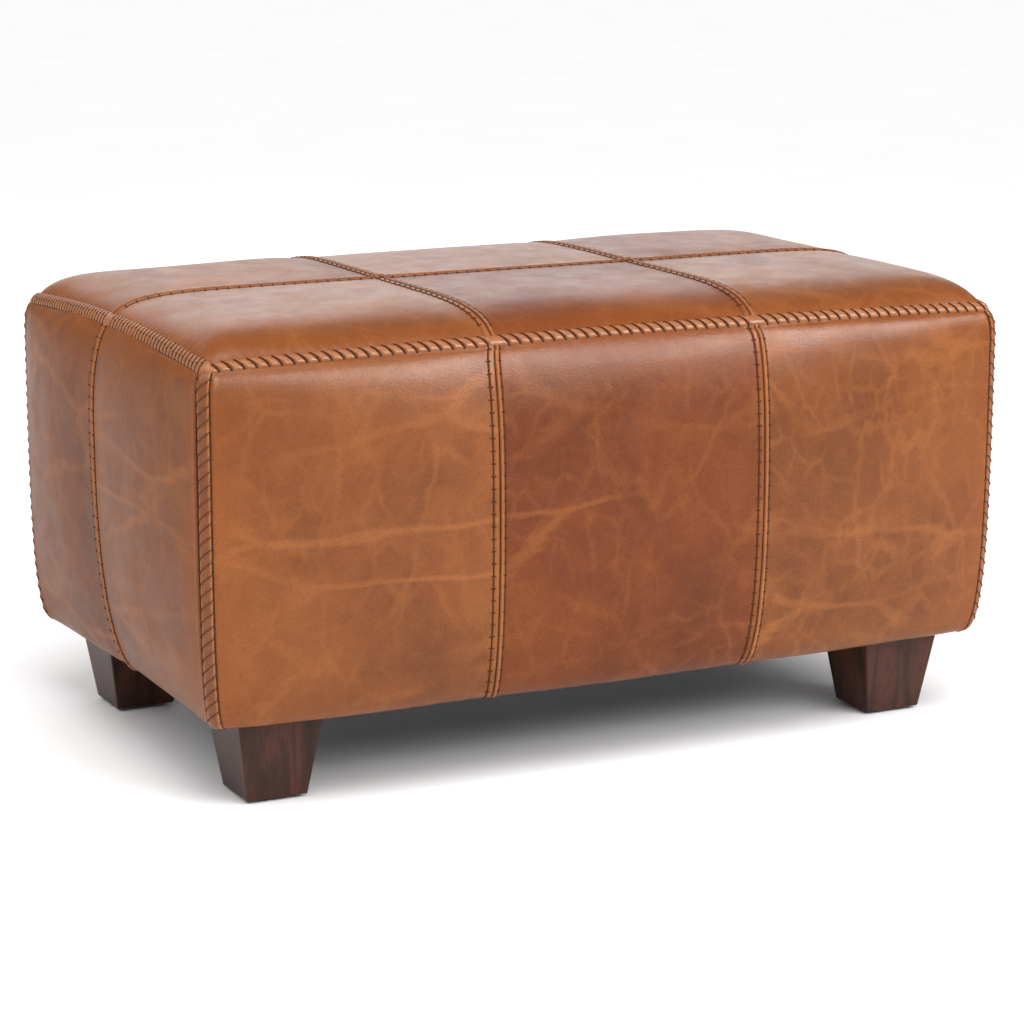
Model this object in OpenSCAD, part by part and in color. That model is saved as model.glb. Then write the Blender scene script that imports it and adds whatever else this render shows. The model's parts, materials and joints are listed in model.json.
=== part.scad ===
// Rectangular leather ottoman: panelled leather cover laced over foam, on a
// timber frame with four tapered block feet. X is the long axis, Y points to the
// back, Z up. The origin is on the floor under the middle of the ottoman.

/* [Overall] */
// Length between the top corners of the cover
ring_w = 868; // [760:1:960]
// Depth between the top corners of the cover
ring_d = 494; // [430:1:560]
// Height of the laced edge at a corner
ring_z = 436; // [400:1:470]
// Height of the underside of the cover, which is the height of the feet
base_z = 88; // [70:1:110]
// Height of the flat of the seat
seat_z = 471; // [450:1:500]

/* [Cover shape] */
// How far the front and back walls swell at their middle
front_swell = 37; // [15:1:45]
// How far the end walls swell at their middle
end_swell = 25; // [12:1:35]
// How far a corner swells below the laced edge
corner_swell = 10; // [4:1:15]
// Height at which the front wall is widest
front_wide_z = 274; // [220:1:330]
// Height at which the end wall is widest
end_wide_z = 344; // [250:1:370]
// Height at which a corner is widest
corner_wide_z = 394; // [300:1:400]
// How far the bottom of a front or back wall stands out
front_foot = 4; // [0:1:8]
// How far the bottom of an end wall tucks in
end_tuck = 17; // [0:1:18]
// How far the bottom of a corner tucks in
corner_tuck = 8; // [0:1:18]
// How far a corner of the laced edge drops
corner_drop = 1; // [0:1:8]
// How far a corner of the laced edge is rounded off along X and Y
corner_round = 0.5; // [0:0.5:6]
// Outward bow of the long laced edges
front_bow = 12; // [0:1:16]
// Outward bow of the short laced edges
end_bow = 3; // [0:1:12]
// Rise of the long laced edges towards their middle
front_rise = 7; // [0:1:12]
// Rise of the short laced edges towards their middle
end_rise = 11; // [0:1:15]
// Thickness of the leather
leather_t = 1.6; // [1.2:0.1:2.4]
// Width of leather turned under the frame
hem = 36; // [25:1:45]
// Diameter of the rolled and laced edges
welt_d = 12; // [9:0.5:14]

/* [Feet] */
// Width of a foot at the floor
foot_low = 64; // [50:1:76]
// Width of a foot at its top
foot_top = 89; // [78:1:96]
// Distance from the cover's corner to the foot along X
foot_in_x = 47; // [35:1:70]
// Distance from the cover's corner to the foot along Y
foot_in_y = 32; // [30:1:60]
// Radius on the feet's edges
foot_ease = 1.8; // [0.8:0.1:3]
// Diameter of a floor glide
glide_d = 46; // [30:1:48]
// Thickness of a floor glide
glide_t = 3; // [2:0.5:5]

/* [Frame] */
// Distance from the cover's corner to the frame along X
frame_in_x = 24; // [22:1:34]
// Distance from the cover's corner to the frame along Y
frame_in_y = 23; // [22:1:32]
// Height of the top of the frame
frame_top = 392; // [340:1:400]
// Thickness of the rails
rail_t = 24; // [18:1:30]
// Height of the base rails
base_rail_h = 60; // [45:1:80]
// Height of the top rails
top_rail_h = 45; // [35:1:60]
// Thickness of the side boards
board_t = 5; // [3:1:8]
// Side of the square corner posts
post = 40; // [32:1:48]
// Height of the corner blocks that hold the feet
block_h = 38; // [30:1:50]

/* [Suspension] */
// Width of a webbing strap
web_w = 60; // [40:1:70]
// Straps across the seat
cross_straps = 7; // [4:1:9]
// Straps along the seat
long_straps = 3; // [2:1:4]

/* [Hidden] */
$fn = 48;

leather = "#8f5a34";
welt_leather = "#9a6440";
walnut = "#4d342b";
pine = "#d8b98a";
steel = "#b5b8ba";

// Clearance between pieces that touch
gap = 0.4;
// Half the frame's length and depth, over the boards
frame_x = ring_w / 2 - frame_in_x;
frame_y = ring_d / 2 - frame_in_y;
// Frame parts stand above the turned-under leather
frame_z = base_z + leather_t + gap;
dust_t = 1.2;
dust_z = base_z - dust_t;
// Centre of a foot
foot_x = ring_w / 2 - foot_in_x - foot_low / 2;
foot_y = ring_d / 2 - foot_in_y - foot_low / 2;
bolt_d = 8;
bolt_low = 45;
// How far a bolt stops below the top of its corner block
bolt_short = 4;
tee_flange_d = 24;
tee_flange_t = 1.6;
tee_barrel_d = 11;
tee_barrel_l = 18;
screw_d = 5;
screw_l = 60;
web_t = 2;
staple_t = 0.8;
// Length of a staple's crown, in the dust cover and in the webbing
dust_staple_l = 11;
web_staple_l = 10;
// Spacing of the dust cover's staples, and how far they are in from its edge
dust_staple_pitch = 60;
dust_staple_in = 8;
wadding_t = 8;
// Cells across and up a leather panel, and around a welt
cells_u = 8;
cells_w = 10;
welt_sides = 10;
// From a laced edge's line to where the panels stop, at the top and at a corner
edge_clear = welt_d * 0.45;
corner_clear = welt_d * 0.87;
// Room between the ends of two rolls at a corner
end_gap = 0.6;
// Powers that keep the drop and rounding of a laced edge close to its corners
near_corner_x = 36;
near_corner_y = 20;
// Profiles of a wall and of a corner: a power, then the easing below and above the widest place
wall_shape = [2.5, 0.5, 0.625];
corner_shape = [4, 1 / 3, 0.5];
// Power that keeps the corner's profile close to the end of a wall
corner_hold = 2.4;
// Shoulders of the seat along X and Y: a power, what the corners add to it, and how closely
seat_along = [14, 12, 4];
seat_across = [6, 5, 8];
seat_ease = 2 / 3;
// How far a corner's roll is set in from the line where its walls would meet
corner_set = welt_d / 3;

// ---- shape of the cover ----

// How near a place is to a corner: u along X and v along Y, both -1 to 1
function at_edge_corner(u, v) = pow(abs(u), near_corner_x) * pow(abs(v), near_corner_y);

// Height of the laced edge
function ring_height(u, v) =
  ring_z + front_rise * (1 - u * u) + end_rise * (1 - v * v) - corner_drop * at_edge_corner(u, v);
// The same place with its corners rounded off, for lengths x and y from the middle
function rounded(u, v, x, y) =
  let (cut = corner_round * at_edge_corner(u, v))
  [x - sign(x) * cut, y - sign(y) * cut, ring_height(u, v)];

// Swell of a wall at height z, from its foot, through its widest point, to its top
function wall_out(z, top, wide, low, full, high, shape) =
  z < wide
    ? low + (full - low) * pow(max(0, 1 - pow((wide - z) / (wide - base_z), shape[0])), shape[1])
    : high + (full - high) * pow(max(0, 1 - pow(min(1, (z - wide) / (top - wide)), shape[0])), shape[2]);
function corner_out(z) =
  wall_out(z, ring_z - corner_drop, corner_wide_z, -corner_tuck, corner_swell, -corner_round, corner_shape);
function front_out(z, top) =
  wall_out(z, top, front_wide_z, front_foot, front_swell, front_bow, wall_shape);
function end_out(z, top) =
  wall_out(z, top, end_wide_z, -end_tuck, end_swell, end_bow, wall_shape);

// How much of the corner's shape is left at a fraction along a wall
function corner_part(f) = pow(abs(f), corner_hold);
function mix(a, b, f) = a + (b - a) * f;

// Height on a wall for w from 0 at its foot to 1 at its top, close-set at both ends
function wall_height(w, wide, top) =
  w < 0.5 ? wide - (wide - base_z) * sin(90 - 180 * w) : wide + (top - wide) * sin(180 * w - 90);

// Point on the front wall; f from -1 to 1 along it, and w below 0 is the hem
function front_point(f, w) =
  let (
    turn = w < 0 ? hem : 0,
    top = ring_height(f, 1) - edge_clear,
    z = wall_height(max(0, w), front_wide_z, top),
    c = corner_out(z) - turn,
    out = mix(front_out(z, ring_height(f, 1)) - turn, c, corner_part(f))
  )
  [f * (ring_w / 2 + c), -ring_d / 2 - out, z];

// Point on the left end wall, in the same way
function end_point(f, w) =
  let (
    turn = w < 0 ? hem : 0,
    top = ring_height(1, f) - edge_clear,
    z = wall_height(max(0, w), end_wide_z, top),
    c = corner_out(z) - turn,
    out = mix(end_out(z, ring_height(1, f)) - turn, c, corner_part(f))
  )
  [-ring_w / 2 - out, -f * (ring_d / 2 + c), z];

// Point on the seat; u along X and v along Y
function seat_point(u, v) =
  let (
    along = pow(abs(u), seat_along[0] + seat_along[1] * pow(v, seat_along[2])),
    across = pow(abs(v), seat_across[0] + seat_across[1] * pow(u, seat_across[2])),
    full = pow((1 - along) * (1 - across), seat_ease),
    ring = rounded(u, v, u * (ring_w / 2 + end_bow * (1 - v * v)), v * (ring_d / 2 + front_bow * (1 - u * u)))
  )
  [ring[0], ring[1], mix(ring[2], seat_z, full)];

// ---- surfaces made into solids ----

function unit(a) = a / norm(a);
// Unit normal at a cell corner of a grid of points
function grid_normal(g, i, j) =
  let (
    ni = len(g) - 1,
    nj = len(g[0]) - 1,
    a = g[min(ni, i + 1)][j] - g[max(0, i - 1)][j],
    b = g[i][min(nj, j + 1)] - g[i][max(0, j - 1)]
  )
  unit(cross(b, a));
// The same grid, moved inward by d
function inset_grid(g, d) =
  [for (i = [0 : len(g) - 1]) [for (j = [0 : len(g[0]) - 1]) g[i][j] - d * grid_normal(g, i, j)]];

// Closed solid between two grids of the same size
module slab(outer, inner) {
  ni = len(outer);
  nj = len(outer[0]);
  n = ni * nj;
  points = concat([for (r = outer) each r], [for (r = inner) each r]);
  function at(i, j) = i * nj + j;
  skin = [for (i = [0 : ni - 2]) for (j = [0 : nj - 2])
    each [[at(i, j), at(i + 1, j + 1), at(i, j + 1)], [at(i, j), at(i + 1, j), at(i + 1, j + 1)]]];
  lining = [for (t = skin) [t[2] + n, t[1] + n, t[0] + n]];
  rim = concat(
    [for (j = [0 : nj - 1]) at(0, j)],
    [for (i = [1 : ni - 1]) at(i, nj - 1)],
    [for (j = [1 : nj - 1]) at(ni - 1, nj - 1 - j)],
    [for (i = [1 : ni - 2]) at(ni - 1 - i, 0)]
  );
  m = len(rim);
  edge = [for (k = [0 : m - 1]) let (a = rim[k], b = rim[(k + 1) % m])
    each [[a, b + n, a + n], [a, b, b + n]]];
  polyhedron(points, concat(skin, lining, edge));
}

// Tube along a list of points
module tube(path, d, sides) {
  n = len(path);
  rings = [for (i = [0 : n - 1])
    let (
      along = unit(path[min(n - 1, i + 1)] - path[max(0, i - 1)]),
      side = unit(cross(along, abs(along[2]) > 0.8 ? [1, -1, 0] : [0, 0, 1])),
      up = cross(side, along)
    )
    for (k = [0 : sides - 1]) path[i] + d / 2 * (cos(360 * k / sides) * side + sin(360 * k / sides) * up)];
  walls = [for (i = [0 : n - 2]) for (k = [0 : sides - 1])
    let (
      a = i * sides + k,
      b = i * sides + (k + 1) % sides
    )
    each [[a, b, b + sides], [a, b + sides, a + sides]]];
  first = [for (k = [0 : sides - 1]) sides - 1 - k];
  last = [for (k = [0 : sides - 1]) (n - 1) * sides + k];
  polyhedron(rings, concat(walls, [first, last]));
}

// Repeats its children on the other side, or at all four corners
module on_side(side) {
  if (side == "back") mirror([0, 1, 0]) children();
  else if (side == "right") mirror([1, 0, 0]) children();
  else children();
}
module at_corner(sx, sy) {
  mirror([sx < 0 ? 0 : 1, 0, 0]) mirror([0, sy < 0 ? 0 : 1, 0]) children();
}
module corners() {
  for (sx = [-1, 1]) for (sy = [-1, 1]) at_corner(sx, sy) children();
}

// ---- leather cover ----

thirds = ["left", "centre", "right"];
halves = ["front", "back"];
seam_x = gap / ring_w;
seam_y = gap / ring_d;
// A panel's ends as fractions along its edge, clear of the laced edges and the seams
function third_span(k, clear) =
  [k == 0 ? 2 * clear / ring_w - 1 : mix(-1, 1, k / 3) + seam_x,
   k == 2 ? 1 - 2 * clear / ring_w : mix(-1, 1, (k + 1) / 3) - seam_x];
function half_span(k, clear) = k == 0 ? [2 * clear / ring_d - 1, -seam_y] : [seam_y, 1 - 2 * clear / ring_d];
// Fractions along a panel, close-set towards a welt: k is 0 for the low end, 2 for the high end
function spaced(span, k) =
  [for (i = [0 : cells_u]) mix(span[0], span[1],
    k == 0 ? 1 - sin(90 - 90 * i / cells_u) : k == 2 ? sin(90 * i / cells_u) : i / cells_u)];
rows = concat([-1], [for (j = [0 : cells_w]) j / cells_w]);

module front_panel(k) {
  g = [for (w = rows) [for (f = spaced(third_span(k, corner_clear), k)) front_point(f, w)]];
  color(leather) slab(g, inset_grid(g, leather_t));
}
module end_panel(k) {
  g = [for (w = rows) [for (f = spaced(half_span(k, corner_clear), 2 * k)) end_point(f, w)]];
  color(leather) slab(g, inset_grid(g, leather_t));
}
module top_panel(k, half) {
  vs = spaced(half_span(half, edge_clear), 2 * half);
  g = [for (v = vs) [for (u = spaced(third_span(k, edge_clear), k)) seat_point(u, v)]];
  color(leather) slab(g, inset_grid(g, leather_t));
}

// Laced edges: a roll of leather along each top edge and down each corner
module top_welt(side) {
  long = side == "front" || side == "back";
  reach = 1 - 2 * (edge_clear + end_gap) / (long ? ring_w : ring_d);
  steps = long ? 26 : 16;
  path = [for (i = [0 : steps]) let (f = mix(-reach, reach, i / steps))
    long
      ? rounded(f, 1, f * ring_w / 2, -ring_d / 2 - front_bow * (1 - f * f))
      : rounded(1, f, -ring_w / 2 - end_bow * (1 - f * f), f * ring_d / 2)];
  color(welt_leather) on_side(side) tube(path, welt_d, welt_sides);
}
module corner_welt(sx, sy) {
  top = ring_z - corner_drop - edge_clear;
  path = [for (j = [0 : 12])
    let (
      z = max(base_z + welt_d / 2, wall_height(j / 12, corner_wide_z, top)),
      c = corner_out(z) - corner_set
    )
    [-ring_w / 2 - c, -ring_d / 2 - c, z]];
  color(welt_leather) at_corner(sx, sy) tube(path, welt_d, welt_sides);
}

// ---- padding ----

pad_under = leather_t + gap;
// Wall pad: the wall's own surface outside and a flat face against the board
module front_foam() {
  reach = 1 - 2 * welt_d / ring_w;
  fs = [for (i = [0 : 14]) mix(-reach, reach, i / 14)];
  g = inset_grid([for (j = [0 : 8]) [for (f = fs) front_point(f, j / 8)]], pad_under);
  flat = [for (j = [0 : 8]) [for (p = g[j]) [p[0], -frame_y - gap, p[2]]]];
  color("ivory") slab(g, flat);
}
module end_foam() {
  reach = (frame_y - gap) / (ring_d / 2 + corner_swell);
  fs = [for (i = [0 : 10]) mix(-reach, reach, i / 10)];
  g = inset_grid([for (j = [0 : 8]) [for (f = fs) end_point(f, j / 8)]], pad_under);
  flat = [for (j = [0 : 8]) [for (p = g[j]) [-frame_x - gap, p[1], p[2]]]];
  color("ivory") slab(g, flat);
}

// Seat surface lowered by d, over a part of the seat
function seat_grid(d, reach_u, reach_v) =
  inset_grid([for (j = [0 : 10]) [for (i = [0 : 16])
    seat_point(mix(-reach_u, reach_u, i / 16), mix(-reach_v, reach_v, j / 10))]], d);
module seat_wadding() {
  reach_u = 1 - 14 / ring_w;
  reach_v = 1 - 20 / ring_d;
  color("white")
    slab(seat_grid(pad_under, reach_u, reach_v), seat_grid(pad_under + wadding_t, reach_u, reach_v));
}
module seat_foam() {
  // The foam rests over the straps and their staples
  foam_z = frame_top + 2 * web_t + staple_t + gap;
  reach_u = (frame_x - 2) / (ring_w / 2 + end_bow);
  reach_v = (frame_y - 2) / (ring_d / 2 + front_bow);
  top = seat_grid(pad_under + wadding_t + gap, reach_u, reach_v);
  under = [for (r = top) [for (p = r) [p[0], p[1], foam_z]]];
  color("ivory") slab(top, under);
}

// ---- feet and their fixings ----

module foot(sx, sy) {
  low = foot_low / 2 - foot_ease;
  high = foot_top / 2 - foot_ease;
  color(walnut) at_corner(sx, sy) translate([-foot_x, -foot_y, 0])
    difference() {
      hull() {
        for (x = [-1, 1]) for (y = [-1, 1]) {
          translate([x * low, y * low, glide_t + foot_ease]) sphere(foot_ease, $fn = 16);
          translate([x * high, y * high, dust_z - 1]) cylinder(1, foot_ease, foot_ease, $fn = 16);
        }
      }
      translate([0, 0, bolt_low - 1]) cylinder(h = dust_z, d = bolt_d + gap);
    }
}
module floor_glides() {
  color("#26211f") corners() translate([-foot_x, -foot_y, 0]) {
    cylinder(h = 1, d1 = glide_d - 2, d2 = glide_d);
    translate([0, 0, 1]) cylinder(h = glide_t - 1, d = glide_d);
  }
}
module hanger_bolts() {
  color(steel) corners() translate([-foot_x, -foot_y, bolt_low])
    cylinder(h = base_z + block_h - bolt_low - bolt_short, d = bolt_d);
}
module tee_nuts() {
  color(steel) corners() translate([-foot_x, -foot_y, base_z + block_h])
    difference() {
      union() {
        cylinder(h = tee_flange_t, d = tee_flange_d);
        translate([0, 0, -tee_barrel_l]) cylinder(h = tee_barrel_l + 1, d = tee_barrel_d);
      }
      translate([0, 0, -tee_barrel_l - 1]) cylinder(h = tee_barrel_l + 6, d = bolt_d + gap);
    }
}

// ---- underside ----

// Half the dust cover's length and depth, inside the bottom edge of the leather
dust_x = ring_w / 2 - end_tuck - 7;
dust_y = ring_d / 2 - corner_tuck - 10;
module dust_cover() {
  color("#1d1b1a") difference() {
    translate([-dust_x, -dust_y, dust_z]) cube([2 * dust_x, 2 * dust_y, dust_t - 0.1]);
    corners() translate([-foot_x, -foot_y, dust_z - 1]) cylinder(h = 4, d = bolt_d + 2);
  }
}
// One staple crown lying along X
module staple(l) {
  translate([-l / 2, -staple_t / 2, 0]) cube([l, staple_t, staple_t]);
}
module dust_cover_staples() {
  pitch = dust_staple_pitch;
  nx = floor((foot_x - pitch) / pitch);
  ny = floor((foot_y - pitch) / pitch);
  color(steel) translate([0, 0, dust_z - staple_t]) {
    for (s = [-1, 1]) for (i = [-nx : nx])
      translate([i * pitch, s * (dust_y - dust_staple_in), 0]) staple(dust_staple_l);
    for (s = [-1, 1]) for (i = [-ny : ny])
      translate([s * (dust_x - dust_staple_in), i * pitch, 0]) rotate(90) staple(dust_staple_l);
  }
}

// ---- timber frame ----

rail_x = frame_x - board_t;
rail_y = frame_y - board_t;
top_rail_z = frame_top - top_rail_h;
// Heights of the four screws in each corner
screw_zs = [frame_z + 18, frame_z + base_rail_h - 14, top_rail_z + 14, frame_top - 12];
// Screws through the front and back rails into the ends of the others
module rail_screws(extra = 0) {
  color(steel) for (sx = [-1, 1]) for (sy = [-1, 1])
    for (z = screw_zs)
      translate([sx * (rail_x - rail_t / 2), sy * rail_y, z])
        rotate([90 * sy, 0, 0]) cylinder(h = screw_l + extra, d = screw_d + extra);
}
module long_rail(z, h) {
  color(pine) difference() {
    translate([-rail_x, -rail_y, z]) cube([2 * rail_x, rail_t, h]);
    rail_screws(gap);
  }
}
module short_rail(z, h) {
  color(pine) difference() {
    translate([-rail_x, -rail_y + rail_t + gap / 2, z])
      cube([rail_t, 2 * (rail_y - rail_t) - gap, h]);
    rail_screws(gap);
  }
}
module base_rail(side) {
  on_side(side) {
    if (side == "front" || side == "back") long_rail(frame_z, base_rail_h);
    else short_rail(frame_z, base_rail_h);
  }
}
module top_rail(side) {
  on_side(side) {
    if (side == "front" || side == "back") long_rail(top_rail_z, top_rail_h);
    else short_rail(top_rail_z, top_rail_h);
  }
}
module base_cross_rail() {
  reach = rail_y - rail_t - gap / 2;
  color(pine) translate([-rail_t / 2, -reach, frame_z]) cube([rail_t, 2 * reach, base_rail_h]);
}
// Inner faces of the rails
inner_x = rail_x - rail_t - gap;
inner_y = rail_y - rail_t - gap;
block_l = inner_x - foot_x + foot_top / 2;
block_w = inner_y - foot_y + foot_top / 2;
// Height of the notch in a block over the turned-under leather
notch_h = leather_t + 1.5;
module corner_blocks() {
  color(pine) corners() difference() {
    translate([-inner_x, -inner_y, base_z]) cube([block_l, block_w, block_h]);
    translate([-foot_x, -foot_y, base_z - 1]) cylinder(h = block_h + 2, d = tee_barrel_d + 2 * gap);
    translate([-inner_x - 1, -inner_y - 1, base_z - 1])
      cube([inner_x - (ring_w / 2 - corner_tuck - hem) + 2, block_w + 2, notch_h]);
    translate([-inner_x - 1, -inner_y - 1, base_z - 1])
      cube([block_l + 2, inner_y - (ring_d / 2 - corner_tuck - hem) + 2, notch_h]);
  }
}
module corner_posts() {
  color(pine) corners() difference() {
    translate([-inner_x, -inner_y, base_z + block_h + gap])
      cube([post, post, frame_top - base_z - block_h - gap]);
    translate([-foot_x, -foot_y, base_z + block_h - 1]) cylinder(h = 12, d = tee_flange_d + 2);
  }
}
module side_board(side) {
  long = side == "front" || side == "back";
  color("#b99a6b") on_side(side) {
    if (long) translate([-frame_x, -frame_y, frame_z])
      cube([2 * frame_x, board_t - 0.1, frame_top - frame_z]);
    else translate([-frame_x, -rail_y + gap, frame_z])
      cube([board_t - 0.1, 2 * (rail_y - gap), frame_top - frame_z]);
  }
}

// ---- seat suspension ----

long_pitch = 2 * inner_y / (long_straps + 0.5);
cross_pitch = 2 * inner_x / (cross_straps + 0.5);
function strap_places(n, pitch) = [for (i = [0 : n - 1]) (i - (n - 1) / 2) * pitch];
// How far the straps stop short of the rails' outer faces, and their staples
strap_in = 2;
long_staple_in = 10;
cross_staple_in = 8;
module long_webbing() {
  color("#c8b48c") for (y = strap_places(long_straps, long_pitch))
    translate([-rail_x + strap_in, y - web_w / 2, frame_top])
      cube([2 * (rail_x - strap_in), web_w, web_t]);
}
module cross_webbing() {
  color("#c8b48c") for (x = strap_places(cross_straps, cross_pitch))
    translate([x - web_w / 2, -rail_y + strap_in, frame_top + web_t])
      cube([web_w, 2 * (rail_y - strap_in), web_t]);
}
module webbing_staples() {
  color(steel) for (s = [-1, 1]) for (k = [-1, 0, 1]) {
    for (y = strap_places(long_straps, long_pitch))
      translate([s * (rail_x - long_staple_in), y + k * web_w / 3, frame_top + web_t])
        rotate(90) staple(web_staple_l);
    for (x = strap_places(cross_straps, cross_pitch))
      translate([x + k * web_w / 3, s * (rail_y - cross_staple_in), frame_top + 2 * web_t])
        staple(web_staple_l);
  }
}

// ---- assembly ----

sides = ["front", "back", "left", "right"];
for (sx = [-1, 1]) for (sy = [-1, 1]) {
  corner = str(sy < 0 ? "front" : "back", sx < 0 ? "_left" : "_right");
  foot(sx, sy);
  corner_welt(sx, sy);
}
for (side = sides) {
  base_rail(side);
  top_rail(side);
  side_board(side);
  top_welt(side);
}
for (k = [0 : 2]) {
  front_panel(k);
  on_side("back") front_panel(k);
  for (h = [0, 1])
    top_panel(k, h);
}
for (h = [0, 1]) {
  end_panel(1 - h);
  on_side("right") end_panel(1 - h);
}
floor_glides();
hanger_bolts();
tee_nuts();
dust_cover();
dust_cover_staples();
base_cross_rail();
corner_blocks();
corner_posts();
rail_screws();
long_webbing();
cross_webbing();
webbing_staples();
seat_foam();
seat_wadding();
front_foam();
on_side("back") front_foam();  // back_foam
end_foam();  // left_foam
on_side("right") end_foam();  // right_foam
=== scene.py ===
"""Panelled leather ottoman: fine leather cover, laced edges, stitching, feet and light."""

import json
import math

import bpy
import numpy as np
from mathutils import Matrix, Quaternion, Vector
from mathutils.bvhtree import BVHTree


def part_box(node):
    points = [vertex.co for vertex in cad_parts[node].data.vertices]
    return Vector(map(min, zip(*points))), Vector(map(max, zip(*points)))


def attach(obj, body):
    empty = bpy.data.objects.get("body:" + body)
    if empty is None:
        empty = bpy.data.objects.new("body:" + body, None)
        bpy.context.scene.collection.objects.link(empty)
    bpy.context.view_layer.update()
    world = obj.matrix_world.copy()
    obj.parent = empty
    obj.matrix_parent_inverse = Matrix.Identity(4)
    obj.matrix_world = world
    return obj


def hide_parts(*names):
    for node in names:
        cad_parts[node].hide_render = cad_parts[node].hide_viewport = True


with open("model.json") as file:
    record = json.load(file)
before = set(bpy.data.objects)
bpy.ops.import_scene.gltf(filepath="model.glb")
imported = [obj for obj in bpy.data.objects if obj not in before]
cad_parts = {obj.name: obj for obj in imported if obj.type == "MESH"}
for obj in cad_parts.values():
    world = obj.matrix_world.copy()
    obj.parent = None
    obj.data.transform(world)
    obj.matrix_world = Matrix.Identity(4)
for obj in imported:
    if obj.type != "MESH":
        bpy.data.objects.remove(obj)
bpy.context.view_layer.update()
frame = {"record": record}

MM = 0.001

# ---- shape of the cover, as in the design (metres) ----

# The laced edge's corners, and the heights of the cover's foot and of the seat's middle
RING_W = 0.868
RING_D = 0.494
RING_Z = 0.436
BASE_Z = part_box("front_panel_left")[0][2]
SEAT_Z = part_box("top_panel_front_left")[1][2]
# How far each wall and corner swells past the laced edge's corners, and at what height most
FRONT_SWELL = 0.037
END_SWELL = 0.025
CORNER_SWELL = 0.010
FRONT_WIDE_Z = 0.274
END_WIDE_Z = 0.344
CORNER_WIDE_Z = 0.394
# Where the foot of each wall and corner stands, and how the laced edge's corners are eased
FRONT_FOOT = 0.004
END_TUCK = 0.017
CORNER_TUCK = 0.008
CORNER_DROP = 0.001
CORNER_ROUND = 0.0005
# How far the laced edges bow outwards and rise at their middles
FRONT_BOW = 0.012
END_BOW = 0.003
FRONT_RISE = 0.007
END_RISE = 0.011
# How far the leather turns in under the frame, and its thickness
HEM = 0.036
LEATHER_T = 0.0016

# How square the walls' and corners' outlines are, and how closely a wall keeps to its corners
WALL_POWER = 2.5
CORNER_POWER = 4
CORNER_HOLD = 2.4

# Where the panels stop, measured from the laced edge's line
TOP_CLEAR = 0.0015
CORNER_CLEAR = 0.0095

# Stitch spacing, and the thread's radius
STITCH = 0.0121
END_STITCH = 0.0078
THREAD_R = 0.00055


def at_edge_corner(u, v):
    """How near a place is to a corner: u along X and v along Y, both -1 to 1."""
    return np.clip(np.abs(u), 0, 1) ** 36 * np.clip(np.abs(v), 0, 1) ** 20


def ring_height(u, v):
    """Height of the laced edge."""
    rise = FRONT_RISE * (1 - u * u) + END_RISE * (1 - v * v)
    return RING_Z + rise - CORNER_DROP * at_edge_corner(u, v)


def rounded(u, v, x, y):
    """The place x, y on the laced edge or seat, with its corners rounded off, at the edge's height."""
    cut = CORNER_ROUND * at_edge_corner(u, v)
    x, y = x - np.sign(x) * cut, y - np.sign(y) * cut
    return np.stack(np.broadcast_arrays(x, y, ring_height(u, v)), axis=-1)


def wall_out(z, top, wide, low, full, high, power, ease_low=0.5, ease_high=0.625):
    """How far a wall stands out at height z: low at its foot, full where it is widest, high at its top."""
    down = np.clip((wide - z) / (wide - BASE_Z), 0, 1)
    up = np.clip((z - wide) / (top - wide), 0, 1)
    below = low + (full - low) * (1 - down**power) ** ease_low
    above = high + (full - high) * (1 - up**power) ** ease_high
    return np.where(z < wide, below, above)


def corner_out(z):
    """How far an upright corner stands out at height z."""
    top = RING_Z - CORNER_DROP
    return wall_out(
        z, top, CORNER_WIDE_Z, -CORNER_TUCK, CORNER_SWELL, -CORNER_ROUND, CORNER_POWER, 1 / 3, 0.5
    )


def wall_height(w, wide, top):
    """Height for w from 0 to 1 up a wall, closer together near its foot and top."""
    low = wide - (wide - BASE_Z) * np.cos(math.pi * np.clip(w, 0, 0.5))
    high = wide + (top - wide) * -np.cos(math.pi * np.clip(w, 0.5, 1))
    return np.where(w < 0.5, low, high)


def mix(a, b, f):
    return a + (b - a) * f


def unit(v):
    return v / np.linalg.norm(v, axis=-1, keepdims=True)


def distances(points, axis=0):
    """How far each point of a path or grid is from the first one, measured along the given axis."""
    steps = np.linalg.norm(np.diff(points, axis=axis), axis=-1)
    return np.concatenate([np.zeros_like(np.take(steps, [0], axis)), steps], axis=axis).cumsum(axis)


def wall_place(f, w, ring, wide, low, full, high):
    """Height of a place on a wall, and how far its corner and the wall itself stand out there."""
    turn = np.clip(-w, 0, 1) * HEM
    z = wall_height(np.clip(w, 0, 1), wide, ring - TOP_CLEAR)
    c = corner_out(z) - turn
    wall = wall_out(z, ring, wide, low, full, high, WALL_POWER)
    return z + 0 * f, c, mix(wall - turn, c, np.abs(f) ** CORNER_HOLD)


def front_point(f, w):
    """A point on the front wall: f from -1 to 1 along it, w from 0 to 1 up it, and the hem below 0."""
    z, c, out = wall_place(f, w, ring_height(f, 1.0), FRONT_WIDE_Z, FRONT_FOOT, FRONT_SWELL, FRONT_BOW)
    return np.stack([f * (RING_W / 2 + c), -RING_D / 2 - out, z], axis=-1)


def end_point(f, w):
    """A point on the left end wall, in the same way, with f running to the front."""
    z, c, out = wall_place(f, w, ring_height(1.0, f), END_WIDE_Z, -END_TUCK, END_SWELL, END_BOW)
    return np.stack([-RING_W / 2 - out, -f * (RING_D / 2 + c), z], axis=-1)


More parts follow.
